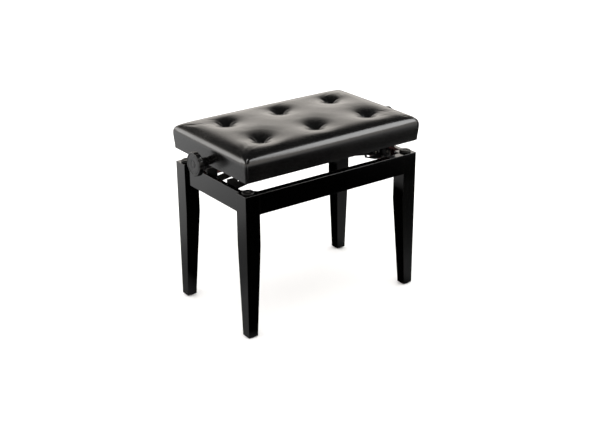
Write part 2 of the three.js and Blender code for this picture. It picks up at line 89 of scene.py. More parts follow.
# ---------------------------------------------------------------- material nodes
class Finish:
    """A material: a Principled shader with its colour, roughness and relief from nodes.

    Textures are placed by object coordinates, in metres.
    """

    def __init__(self, name, color, roughness, metallic=0.0, **constants):
        self.material = bpy.data.materials.new(name)
        self.material.use_nodes = True
        self.tree = self.material.node_tree
        self.shader = self.tree.nodes["Principled BSDF"]
        self.place = self.add("TexCoord").outputs["Object"]
        self.normal = None
        self.set("Base Color", color)
        self.set("Roughness", roughness)
        self.set("Metallic", metallic)
        for socket, value in constants.items():
            self.set(socket.replace("_", " "), value)

    def add(self, kind, **settings):
        node = self.tree.nodes.new("ShaderNode" + kind)
        for key, value in settings.items():
            setattr(node, key, value)
        return node

    def put(self, target, value):
        """Puts a number, a colour or another node's output on a socket."""
        if isinstance(value, bpy.types.NodeSocket):
            self.tree.links.new(value, target)
        elif isinstance(value, tuple) and target.type == "RGBA":
            target.default_value = (*value, 1)
        else:
            target.default_value = value

    def set(self, socket, value):
        self.put(self.shader.inputs[socket], value)

    def stretched(self, x, y, z):
        """Object coordinates scaled along each axis."""
        node = self.add("Mapping")
        self.put(node.inputs["Vector"], self.place)
        self.put(node.inputs["Scale"], (x, y, z))
        return node.outputs[0]

    def noise(self, scale, detail=2.0, roughness=0.5, place=None, distortion=0.0):
        node = self.add("TexNoise")
        for socket, value in (("Vector", place or self.place), ("Scale", scale),
                              ("Detail", detail), ("Roughness", roughness),
                              ("Distortion", distortion)):
            self.put(node.inputs[socket], value)
        return node.outputs[0]

    def cells(self, scale, place=None, feature="SMOOTH_F1"):
        node = self.add("TexVoronoi", feature=feature)
        self.put(node.inputs["Vector"], place or self.place)
        self.put(node.inputs["Scale"], scale)
        return node.outputs["Distance"]

    def spread(self, value, low, high, to_low=0.0, to_high=1.0):
        """Maps low..high to another range, and holds it there."""
        node = self.add("MapRange")
        for index, part in enumerate((value, low, high, to_low, to_high)):
            self.put(node.inputs[index], part)
        return node.outputs[0]

    def math(self, operation, a, b=0.0):
        node = self.add("Math", operation=operation)
        self.put(node.inputs[0], a)
        self.put(node.inputs[1], b)
        return node.outputs[0]

    def mix(self, factor, a, b):
        node = self.add("Mix", data_type="RGBA")
        for index, value in ((0, factor), (6, a), (7, b)):
            self.put(node.inputs[index], value)
        return node.outputs[2]

    def axis(self, letter):
        node = self.add("SeparateXYZ")
        self.put(node.inputs[0], self.place)
        return node.outputs[letter]

    def bump(self, height, depth, strength=1.0):
        """Adds a relief of that depth, in metres, over what is there."""
        node = self.add("Bump")
        for socket, value in (("Height", height), ("Distance", depth), ("Strength", strength)):
            self.put(node.inputs[socket], value)
        if self.normal:
            self.put(node.inputs["Normal"], self.normal)
        self.normal = node.outputs[0]
        self.set("Normal", self.normal)


def lacquer_finish(name, worn=False, inner=None):
    """Black polyester lacquer: a deep gloss with orange peel, haze and hairline scratches.

    inner is the axis and distance of an apron's inner face, which is only stained.
    """
    black = (0.002, 0.002, 0.0019) if worn else (0.0002, 0.0002, 0.0002)
    grey = (0.012, 0.011, 0.01) if worn else (0.0012, 0.0012, 0.0012)
    finish = Finish(name, black, 0.08, IOR=1.5)
    haze = finish.noise(9, 4, 0.6)
    scratches = finish.noise(70, 6, 0.8, finish.stretched(1, 1, 0.08))
    rough = finish.spread(haze, 0.35, 0.7, *((0.14, 0.24) if worn else (0.03, 0.07)))
    rough = finish.math("ADD", rough, finish.spread(scratches, 0.56, 0.75, 0.0, 0.05))
    color = finish.mix(finish.spread(finish.noise(420, 3, 0.7), 0.62, 0.8), black, grey)
    if inner:
        letter, limit = inner
        fade = finish.math("ADD", finish.math("ABSOLUTE", finish.axis(letter)),
                           finish.spread(haze, 0, 1, -0.0003, 0.0003))
        stained = finish.spread(fade, limit + 0.0002, limit + 0.0009, 1.0, 0.0)
        along = finish.stretched(*((1, 14, 14) if letter == "Y" else (14, 1, 14)))
        grain = finish.noise(16, 8, 0.65, along, 0.6)
        stain = finish.mix(finish.spread(grain, 0.35, 0.65),
                           (0.030, 0.008, 0.008), (0.075, 0.022, 0.020))
        color = finish.mix(stained, color, stain)
        rough = finish.math("ADD", rough, finish.math("MULTIPLY", stained, 0.4))
        finish.bump(finish.math("MULTIPLY", stained, grain), 0.0002)
    finish.set("Base Color", color)
    finish.set("Roughness", rough)
    finish.bump(finish.noise(55, 2, 0.4), 0.00003)
    return finish.material


def vinyl_finish():
    """Black leathercloth: rounded grains between fine creases, a satin sheen, faint mottling."""
    finish = Finish("black_vinyl", (0.0017, 0.0017, 0.0017), 0.3, IOR=1.5)
    mottle = finish.noise(14, 3)
    shift = finish.add("TexNoise")
    finish.put(shift.inputs["Vector"], finish.place)
    finish.put(shift.inputs["Scale"], 300)
    warp = finish.add("VectorMath", operation="MULTIPLY_ADD")
    for index, value in enumerate((shift.outputs["Color"], (0.0012, 0.0012, 0.0012), finish.place)):
        finish.put(warp.inputs[index], value)
    grain = finish.cells(900, warp.outputs[0])
    finish.set("Base Color", finish.mix(
        finish.spread(mottle, 0.35, 0.7), (0.0012, 0.0012, 0.0013), (0.0022, 0.0021, 0.002)))
    finish.set("Roughness", finish.math(
        "ADD", finish.spread(mottle, 0.3, 0.75, 0.19, 0.25),
        finish.spread(grain, 0.3, 0.9, 0, 0.05)))
    finish.bump(finish.math("SUBTRACT", 1.0, grain), 0.00006, 0.5)
    finish.bump(finish.noise(2400, 2), 0.00002, 0.4)
    return finish.material


def coated_steel_finish(name, worn=False):
    """Black powder coat with its fine orange peel; on edges it is thin, and grey steel shows."""
    finish = Finish(name, (0.002, 0.002, 0.0022), 0.42, IOR=1.5)
    specks = finish.spread(finish.noise(900, 4, 0.7), 0.58, 0.7)
    dust = finish.spread(finish.noise(35, 5, 0.65), 0.45, 0.75)
    color = finish.mix(dust, (0.0014, 0.0014, 0.0016), (0.0036, 0.0034, 0.0034))
    if worn:
        chips = finish.spread(finish.noise(160, 5, 0.75), 0.56, 0.62)
        color = finish.mix(specks, color, (0.012, 0.012, 0.013))
        color = finish.mix(chips, color, (0.12, 0.12, 0.12))
        finish.set("Metallic", chips)
    else:
        color = finish.mix(specks, color, (0.005, 0.005, 0.0055))
    finish.set("Base Color", color)
    finish.set("Roughness", finish.spread(dust, 0, 1, 0.34, 0.52))
    finish.bump(finish.noise(1300, 2), 0.00005, 0.6)
    return finish.material


def zinc_finish(name, lengthways):
    """Zinc plate with drawing marks along one axis, slight yellowing and dull patches."""
    finish = Finish(name, (0.25, 0.25, 0.24), 0.3, 1.0)
    scale = [9, 9, 9]
    scale["XYZ".index(lengthways)] = 0.6
    marks = finish.noise(180, 5, 0.75, finish.stretched(*scale))
    patches = finish.noise(60, 4, 0.6)
    finish.set("Base Color", finish.mix(
        finish.spread(patches, 0.4, 0.65), (0.25, 0.25, 0.255), (0.2, 0.18, 0.14)))
    finish.set("Roughness", finish.math(
        "ADD", finish.spread(marks, 0.3, 0.7, 0.2, 0.36),
        finish.spread(patches, 0.5, 0.8, 0, 0.15)))
    finish.bump(marks, 0.00002, 0.6)
    return finish.material


def plastic_finish(name, color, light, roughness):
    """Moulded plastic with a spark-eroded texture and slight handling polish."""
    finish = Finish(name, color, roughness, IOR=1.43)
    worn = finish.noise(40, 4, 0.6)
    finish.set("Base Color", finish.mix(finish.spread(worn, 0.4, 0.7), color, light))
    finish.set("Roughness", finish.spread(worn, 0.35, 0.7, roughness - 0.06, roughness + 0.08))
    finish.bump(finish.noise(2600, 3, 0.6), 0.00003, 0.5)
    finish.bump(finish.noise(90, 2), 0.00005, 0.4)
    return finish.material


def rubber_finish():
    """Black rubber with a grey bloom."""
    finish = Finish("rubber", (0.002, 0.002, 0.002), 0.6, IOR=1.35)
    bloom = finish.spread(finish.noise(120, 5, 0.7), 0.45, 0.75)
    finish.set("Base Color", finish.mix(bloom, (0.0012, 0.0012, 0.0012), (0.004, 0.0039, 0.0038)))
    finish.set("Roughness", finish.spread(bloom, 0, 1, 0.38, 0.7))
    finish.bump(finish.noise(1500, 3), 0.00005, 0.5)
    return finish.material


def wood_finish(name, along, pale, dark):
    """Stained wood whose grain runs along one axis: long rings, pores and a few darker flames."""
    finish = Finish(name, pale, 0.6)
    scale = [9, 9, 9]
    scale["XYZ".index(along)] = 0.7
    place = finish.stretched(*scale)
    rings = finish.noise(14, 6, 0.6, place, 1.2)
    pores = finish.noise(160, 3, 0.7, place)
    color = finish.mix(finish.spread(rings, 0.36, 0.64), pale, dark)
    finish.set("Base Color", finish.mix(
        finish.spread(pores, 0.6, 0.75), color, tuple(c * 0.4 for c in dark)))
    finish.set("Roughness", finish.spread(pores, 0.3, 0.7, 0.5, 0.72))
    finish.bump(finish.math("ADD", rings, pores), 0.00015, 0.5)
    return finish.material


def plywood_finish(bottom, thickness, plies):
    """Stained plywood: face grain on both sides, alternating plies and glue lines at its edges."""
    finish = Finish("plywood", (0.06, 0.02, 0.017), 0.6)
    level = finish.spread(finish.axis("Z"), bottom, bottom + thickness, 0, plies)
    ply = finish.math("FRACT", level)
    cross = finish.spread(finish.math("PINGPONG", level, 1.0), 0.45, 0.55)
    glue = finish.spread(finish.math("ABSOLUTE", finish.math("SUBTRACT", ply, 0.5)), 0.42, 0.48)
    face = finish.noise(14, 6, 0.6, finish.stretched(0.7, 9, 9), 1.0)
    color = finish.mix(finish.spread(face, 0.35, 0.65), (0.075, 0.028, 0.022), (0.04, 0.014, 0.011))
    color = finish.mix(finish.math("MULTIPLY", cross, 0.5), color, (0.03, 0.011, 0.009))
    finish.set("Base Color", finish.mix(
        finish.math("MULTIPLY", glue, 0.6), color, (0.012, 0.006, 0.005)))
    finish.set("Roughness", finish.spread(face, 0.3, 0.7, 0.5, 0.7))
    finish.bump(face, 0.00015, 0.5)
    return finish.material


def foam_finish():
    """Yellow open-cell foam."""
    finish = Finish("foam", (0.8, 0.66, 0.34), 0.95)
    cells = finish.cells(1400, feature="F1")
    finish.set("Base Color", finish.mix(
        finish.spread(cells, 0.2, 0.7), (0.62, 0.49, 0.22), (0.83, 0.7, 0.38)))
    finish.bump(cells, 0.0003)
    return finish.material


LACQUER = lacquer_finish("black_lacquer")
LACQUER_EDGE = lacquer_finish("black_lacquer_edge", worn=True)
VINYL = vinyl_finish()
STEEL = coated_steel_finish("black_steel")
STEEL_EDGE = coated_steel_finish("black_steel_edge", worn=True)
ZINC = {letter: zinc_finish(f"bright_steel_{letter.lower()}", letter) for letter in "XYZ"}
PLASTIC = plastic_finish(
    "black_plastic", (0.0008, 0.0008, 0.0009), (0.0014, 0.0014, 0.0014), 0.3)
PLASTIC_EDGE = plastic_finish(
    "black_plastic_edge", (0.003, 0.003, 0.003), (0.006, 0.006, 0.006), 0.38)
NYLON = plastic_finish("nylon", (0.004, 0.004, 0.004), (0.007, 0.007, 0.007), 0.4)
RUBBER = rubber_finish()
STAINED = {letter: wood_finish(f"rail_wood_{letter.lower()}", letter, (0.06, 0.02, 0.017),
                               (0.03, 0.009, 0.008)) for letter in "XY"}
PLYWOOD = plywood_finish(458 * MM, 12 * MM, 9)
FOAM = foam_finish()


# ---------------------------------------------------------------- stage
def stage_plane(name, reach, z, material):
    """A level square round the bench that belongs to the studio."""
    mesh = bpy.data.meshes.new(name)
    corners = [(-reach, -reach, z), (reach, -reach, z), (reach, reach, z), (-reach, reach, z)]
    mesh.from_pydata(corners, [], [(0, 1, 2, 3)])
    plane = link(bpy.data.objects.new(name, mesh))
    mesh.materials.append(material)
    return plane


# The floor's reflection, painted for the gloss alone: a glowing plane over the floor in four parts,
# of which the brightest counts. Its dark parts are painted shade: under the bench, and close in
# front of it so that the front faces stay black. Each part has the axis along which its level
# changes, the stretch in metres and the levels over it (place in the stretch from 0 to 1, level),
# and the axis across which it fades: from a least factor at one distance to its full strength at
# another.
BRIGHTEST = 1.5
PAINTED_FLOOR_REFLECTION = [
    # behind the bench and to its left; under the bench it is dark, a painted shadow
    ("Y", -0.3, 1.7,
     [(0.0, 0.0), (0.05, 0.0), (0.07, 0.28), (0.17, 0.3), (0.225, 0.23), (0.28, 0.24),
      (0.32, 0.28), (0.365, 0.38), (0.415, 0.6), (0.46, 0.68), (0.51, 0.76), (0.66, 1.05),
      (1.0, 1.5)],
     ("X", 0.0, -0.2, -0.265)),
    # beside its right end; dark under the bench, a painted shadow
    ("Y", -0.9, 0.1,
     [(0.0, 0.0), (0.06, 0.0), (0.14, 0.05), (0.3, 0.05), (0.42, 0.08), (0.54, 0.14),
      (0.62, 0.24), (1.0, 0.31)],
     ("X", 0.0, 0.24, 0.3)),
    # far in front, towards the right; painted dark close in front of the bench
    ("X", 0.2, 2.2,
     [(0.0, 0.0), (0.2, 0.0), (0.3, 0.2), (0.36, 0.42), (0.425, 0.55), (1.0, 1.2)],
     ("Y", 0.08, -0.96, -1.04)),
    # far to the left
    ("X", -0.6, -2.2,
     [(0.0, 0.0), (0.3, 0.35), (1.0, 1.2)],
     ("X", 0.0, -0.5, -0.6)),
]


def math_node(tree, operation, a, b):
    node = tree.nodes.new("ShaderNodeMath")
    node.operation = operation
    tree.links.new(a, node.inputs[0])
    tree.links.new(b, node.inputs[1])
    return node.outputs[0]


def range_node(tree, value, low, high, to_low=0.0):
    """Maps low..high to to_low..1, and holds it there."""
    node = tree.nodes.new("ShaderNodeMapRange")
    tree.links.new(value, node.inputs[0])
    for index, part in enumerate((low, high, to_low), 1):
        node.inputs[index].default_value = part
    return node.outputs[0]


def painted_reflection_material():
    """A painted floor reflection: an emission over the floor's plane, made of the parts of the
    table above.
    """
    material = bpy.data.materials.new("painted_floor_reflection")
    material.use_nodes = True
    tree = material.node_tree
    tree.nodes.clear()
    place = tree.nodes.new("ShaderNodeTexCoord")
    split = tree.nodes.new("ShaderNodeSeparateXYZ")
    tree.links.new(place.outputs["Object"], split.inputs[0])
    brightest = None
    for along, low, high, levels, (across, least, from_distance, to_distance) in PAINTED_FLOOR_REFLECTION:
        ramp = tree.nodes.new("ShaderNodeValToRGB")
        tree.links.new(range_node(tree, split.outputs[along], low, high), ramp.inputs[0])
        marks = ramp.color_ramp.elements
        marks.remove(marks[1])
        for index, (at, level) in enumerate(levels):
            mark = marks.new(at) if index else marks[0]
            mark.position = at
            mark.color = (*[level / BRIGHTEST] * 3, 1)
        fade = range_node(tree, split.outputs[across], from_distance, to_distance, least)
        part = math_node(tree, "MULTIPLY", ramp.outputs[0], fade)
        if brightest is not None:
            part = math_node(tree, "MAXIMUM", brightest, part)
        brightest = part
    glow = tree.nodes.new("ShaderNodeEmission")
    glow.inputs["Strength"].default_value = BRIGHTEST
    out = tree.nodes.new("ShaderNodeOutputMaterial")
    tree.links.new(brightest, glow.inputs["Color"])
    tree.links.new(glow.outputs[0], out.inputs[0])
    return material


SEAT_MIDDLE = Vector((0, 0, 0.45))


def soft_box(name, azimuth, elevation, distance, width, height, radiance):
    """A soft light that faces the bench and shows in its gloss only."""
    toward = direction(math.radians(azimuth), math.radians(elevation))
    data = bpy.data.lights.new(name, "AREA")
    data.shape = "RECTANGLE"
    data.size, data.size_y = width, height
    data.energy = radiance * width * height * math.pi
    box = link(bpy.data.objects.new(name, data))
    box.location = SEAT_MIDDLE + toward * distance
    box.rotation_euler = toward.to_track_quat("Z", "Y").to_euler()
    box.visible_camera = False
    box.visible_diffuse = False


WALL_UP_TO, CEILING_FROM = math.radians(24), math.radians(31.5)  # elevations
WALL_COLOR, CEILING_COLOR, WORLD_STRENGTH = (1, 0.945, 0.88, 1), (0.03, 0.03, 0.03, 1), 1.71
# the second number is how high the painted floor reflection lies over the floor
FLOOR_REACH, PAINTED_REFLECTION_HEIGHT = 14, 0.5 * MM
SUN_ENERGY, SUN_ANGLE = 4.6, math.radians(110)


def make_world():
    """A pale, slightly warm studio wall all round, and a dark ceiling."""
    world = bpy.data.worlds.new("studio")
    bpy.context.scene.world = world
    world.use_nodes = True
    tree = world.node_tree
    background = tree.nodes["Background"]
    place = tree.nodes.new("ShaderNodeTexCoord")
    split = tree.nodes.new("ShaderNodeSeparateXYZ")
    ramp = tree.nodes.new("ShaderNodeValToRGB")
    tree.links.new(place.outputs["Generated"], split.inputs[0])
    tree.links.new(split.outputs["Z"], ramp.inputs[0])
    tree.links.new(ramp.outputs[0], background.inputs["Color"])
    wall, ceiling = ramp.color_ramp.elements
    wall.position, wall.color = math.sin(WALL_UP_TO), WALL_COLOR
    ceiling.position, ceiling.color = math.sin(CEILING_FROM), CEILING_COLOR
    background.inputs["Strength"].default_value = WORLD_STRENGTH


def make_stage():
    """The floor, a glowing plane over it that paints the floor's reflection for the gloss, a wide
    sun from above and two soft boxes.
    """
    floor = Finish("floor", (0.9, 0.9, 0.9), 0.9, Specular_IOR_Level=0.0)
    stage_plane("floor", FLOOR_REACH, 0, floor.material)
    # a glowing plane just over the floor, seen in the gloss only: a painted floor reflection with
    # painted shade
    painted_floor_reflection = stage_plane("painted_floor_reflection", FLOOR_REACH, PAINTED_REFLECTION_HEIGHT, painted_reflection_material())
    for ray in ("camera", "diffuse", "shadow", "transmission", "volume_scatter"):
        setattr(painted_floor_reflection, f"visible_{ray}", False)
    sun = bpy.data.lights.new("overhead", "SUN")
    sun.energy = SUN_ENERGY
    sun.angle = SUN_ANGLE
    link(bpy.data.objects.new("overhead", sun)).visible_glossy = False
    soft_box("front_right_box", 48, 33, 2.0, 1.15, 1.15, 8.2)
    soft_box("rear_left_box", -140, 14, 3.0, 1.8, 0.8, 3.6)


make_world()
make_stage()
bpy.context.scene.view_settings.view_transform = "Standard"


# ---------------------------------------------------------------- CAD nodes that stay
def refine(node, materials, width, segments=3, angle=32):
    """Gives a CAD node its finish, and by modifiers small rounded edges of that width in mm.

    The last material is for the rounded edges.
    """
    thing = NODES[node]
    mesh = thing.data
    mesh.materials.clear()
    for material in materials:
        mesh.materials.append(material)
    mesh.polygons.foreach_set("use_smooth", [True] * len(mesh.polygons))
    mesh.set_sharp_from_angle(angle=math.radians(angle))
    joined = thing.modifiers.new("joined", "WELD")
    joined.merge_threshold = MERGE_WITHIN
    flat = thing.modifiers.new("flat", "DECIMATE")
    flat.decimate_type = "DISSOLVE"
    flat.angle_limit = math.radians(1)
    edge = thing.modifiers.new("edge", "BEVEL")
    edge.width = width * MM
    edge.segments = segments
    edge.limit_method = "ANGLE"
    edge.angle_limit = math.radians(angle)
    edge.material = len(materials) - 1
    shading = thing.modifiers.new("shading", "WEIGHTED_NORMAL")
    shading.weight = 100


LONG_APRON_INNER, END_APRON_INNER = 144.0, 254.0  # their inner faces, from the middle

for name, _, _ in CORNERS:
    refine(f"leg_{name}", [LACQUER, LACQUER_EDGE], 0.8, 3)
    refine(f"corner_bracket_{name}", [STEEL, STEEL_EDGE], 0.5, 2)
    refine(f"leg_bolt_{name}", [ZINC["Z"]], 0.5, 2)
for name, _ in ROWS:
    front_and_back = lacquer_finish(f"lacquer_{name}", inner=("Y", LONG_APRON_INNER * MM))
    refine(f"apron_{name}", [front_and_back, LACQUER_EDGE], 0.7, 3)
    refine(f"top_rail_{name}", [STEEL, STEEL_EDGE], 0.5, 2)
    refine(f"inner_arm_{name}", [STEEL, STEEL_EDGE], 0.5, 2)
    refine(f"outer_arm_{name}", [STEEL, STEEL_EDGE], 0.5, 2)
    refine(f"seat_rail_{name}", [STAINED["X"]], 0.6, 2)
for name, _ in ENDS:
    at_the_ends = lacquer_finish(f"lacquer_{name}", inner=("X", END_APRON_INNER * MM))
    refine(f"apron_{name}", [at_the_ends, LACQUER_EDGE], 0.7, 3)
    refine(f"base_bracket_{name}", [STEEL, STEEL_EDGE], 0.5, 2)
    refine(f"seat_rail_{name}", [STAINED["Y"]], 0.6, 2)
    refine(f"spindle_bush_{name}", [PLASTIC, PLASTIC_EDGE], 0.5, 3)
    refine(f"thrust_collar_{name}", [ZINC["X"]], 0.6, 2)
refine("seat_board", [PLYWOOD], 0.5, 2)
refine("bearing_bar", [STEEL, STEEL_EDGE], 0.8, 3)
refine("drive_nut_bar", [STEEL, STEEL_EDGE], 0.8, 3)


# ---------------------------------------------------------------- mesh helpers
class Shape:
    """Vertices and faces of one piece, in millimetres, in the bench's own frame."""

    def __init__(self):
        self.vertices, self.faces = [], []

    def add(self, vertices, faces):
        start = len(self.vertices)
        self.vertices += [tuple(v) for v in vertices]
        self.faces += [tuple(start + i for i in face) for face in faces]

    def turned(self, profile, origin, axis, sides=32, radius_at=None):
        """A profile of (radius, along) turned about an axis; it starts and ends on the axis.

        radius_at(radius, along, turn) may change the radius round the axis.
        """
        along = Vector(axis).normalized()
        side = along.orthogonal().normalized()
        if abs(along.z) < 0.5:
            side = Vector((0, 0, 1)).cross(along).normalized()
        other = along.cross(side)
        vertices, loops = [], []
        for radius, distance in profile:
            centre = Vector(origin) + along * distance
            if radius < 1e-6:
                loops.append([len(vertices)])
                vertices.append(centre)
                continue
            loop = []
            for step in range(sides):
                turn = 2 * math.pi * step / sides
                reach = radius_at(radius, distance, turn) if radius_at else radius
                loop.append(len(vertices))
                vertices.append(centre + (side * math.cos(turn) + other * math.sin(turn)) * reach)
            loops.append(loop)
        faces = []
        for low, high in zip(loops, loops[1:]):
            for i in range(sides):
                j = (i + 1) % sides
                corners = (low[i % len(low)], low[j % len(low)],
                           high[j % len(high)], high[i % len(high)])
                faces.append(tuple(dict.fromkeys(corners)))
        self.add(vertices, [face for face in faces if len(face) > 2])

    def piece(self, name, materials, body, slot, replaces=(), angle=35):
        mesh = bpy.data.meshes.new(name)
        mesh.from_pydata([tuple(Vector(v) * MM) for v in self.vertices], [], self.faces)
        for material in materials:
            mesh.materials.append(material)
        solid = bmesh.new()
        solid.from_mesh(mesh)
        bmesh.ops.recalc_face_normals(solid, faces=solid.faces)
        solid.to_mesh(mesh)
        solid.free()
        mesh.polygons.foreach_set("use_smooth", [True] * len(mesh.polygons))
        mesh.set_sharp_from_angle(angle=math.radians(angle))
        thing = link(bpy.data.objects.new(name, mesh))
        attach(thing, body)
        if replaces:
            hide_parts(*replaces)
        return thing


def rounded(corners, radius, steps=3):
    """A turned profile with each inner corner of it rounded off."""
    points = [Vector(p) for p in corners]
    result = [points[0]]
    for before, corner, after in zip(points, points[1:], points[2:]):
        into, out = (before - corner), (after - corner)
        cut = min(radius, into.length * 0.45, out.length * 0.45)
        a, b = corner + into.normalized() * cut, corner + out.normalized() * cut
        for i in range(steps + 1):
            t = i / steps
            result.append(a * (1 - t) ** 2 + corner * (2 * t * (1 - t)) + b * t ** 2)
    return [tuple(p) for p in result + [points[-1]]]


# ---------------------------------------------------------------- seat
HALF_X, HALF_Y = 275.0, 170.0
WALL_FOOT, WALL_TOP = 427.2, 467.3
BULGE = 2.6  # the padding pushes the walls out a little, most at their top
EDGE_LENGTH, EDGE_TURN, EDGE_POWER, SLOPE_REACH = 24.0, math.radians(52), 1.3, 17.0
RIM_INSET = 48.0  # where the rings of the mesh end and the square grid of the top begins
CORNER_RADII = [(-3, 5), (0, 5), (10, 8), (25, 11), (RIM_INSET, 1)]
TUFTS = {f"{row}_{place}": (sx * 170.0, sy * 79.0)
         for row, sy in ROWS for place, sx in (("left", -1), ("middle", 0), ("right", 1))}
TUFT_REACH, TUFT_EYE, TUFT_DEPTH, TUFT_POWER = 64.0, 7.5, 19.5, 1.35
FOLDS, FOLD_DEPTH, FOLD_REACH = 9, 0.9, 34.0  # the small folds that run into each button
PLEAT_AT, PLEAT_WIDTH, PLEAT_DEPTH = 3.8, 2.0, 3.6  # the groove beside each corner
LIP_BEFORE, LIP_WIDTH, LIP_HEIGHT = 2.6, 1.5, 0.3  # the vinyl's edge that lies beside the groove
HEM = 425.9
BUSH_Z, BUSH_HOLE = 438.0, 8.7
SKIN = 0.9  # the vinyl's thickness
CLOTH_STRETCH, CLOTH_SHEAR, CLOTH_BEND, CLOTH_MASS = 60, 30, 2, 0.25
CLOTH_PRESSURE, CLOTH_FRAMES, CLOTH_SOFTENING = 4, 20, 8
CLOTH_HELD_BELOW = 463  # the walls stay where they are, and so do the tufts' eyes
CLOTH_LIMITS, CLOTH_ASIDE = (-0.6, 1.8), 2  # the farthest it moves out of the face, and along it


def shoulder():
    """The cushion's section from the top of its wall: a tight edge, then a long easy slope."""
    step = 0.25
    arc = np.arange(0, 140, step)
    edge = EDGE_TURN * (arc / EDGE_LENGTH) ** EDGE_POWER
    slope = (math.pi / 2 - EDGE_TURN) * np.exp(-np.maximum(arc - EDGE_LENGTH, 0) / SLOPE_REACH)
    turn = np.where(arc < EDGE_LENGTH, edge, math.pi / 2 - slope)
    inset = np.cumsum(np.sin(turn) * step) - np.sin(turn) * step - BULGE
    height = np.cumsum(np.cos(turn) * step) - np.cos(turn) * step + WALL_TOP
    return arc, inset, height


SECTION_ARC, SECTION_INSET, SECTION_HEIGHT = shoulder()


def smooth_step(value, low, high):
    t = np.clip((value - low) / (high - low), 0, 1)
    return t * t * (3 - 2 * t)


def top_height(inset):
    """The cushion's height at a distance from its sides, with no tufts."""
    return np.interp(inset, SECTION_INSET, SECTION_HEIGHT)


def tuft_drop(x, y):
    """How far the six buttons draw the top down, with small folds round each."""
    drop = np.zeros_like(x)
    span = math.log(TUFT_REACH / TUFT_EYE)
    for index, (cx, cy) in enumerate(TUFTS.values()):
        r = np.maximum(np.hypot(x - cx, y - cy), TUFT_EYE)
        drop += TUFT_DEPTH * np.clip(np.log(TUFT_REACH / r) / span, 0, 1) ** TUFT_POWER
        turn = np.arctan2(y - cy, x - cx)
        wave = np.sin(FOLDS * turn + 1.7 * index + 0.9 * np.sin(2 * turn + index))
        drop += FOLD_DEPTH * wave * smooth_step(r, TUFT_EYE, 13) * smooth_step(r, FOLD_REACH, 14)
    return drop


def clustered(cells, length, end_step):
    """Positions from -1 to 1 whose steps shrink to end_step at both ends."""
    t = np.linspace(-1, 1, cells + 1)
    k = 1 - end_step * cells / (2 * length)
    return t + k * np.sin(math.pi * t) / math.pi


def outline_point(side, p, half_x, half_y, radius):
    """A point of a rounded rectangle. Sides: 0 front, 1 right, 2 rear, 3 left."""
    half, across = ((half_x, half_y), (half_y, half_x))[side % 2]
    straight = half - radius
    s = p * (straight + radius * math.pi / 4)
    if abs(s) <= straight:
        u, v = s, across
    else:
        turn = (abs(s) - straight) / radius
        u = math.copysign(straight + radius * math.sin(turn), s)
        v = across - radius + radius * math.cos(turn)
    return ((u, -v), (v, u), (-u, v), (-v, -u))[side]


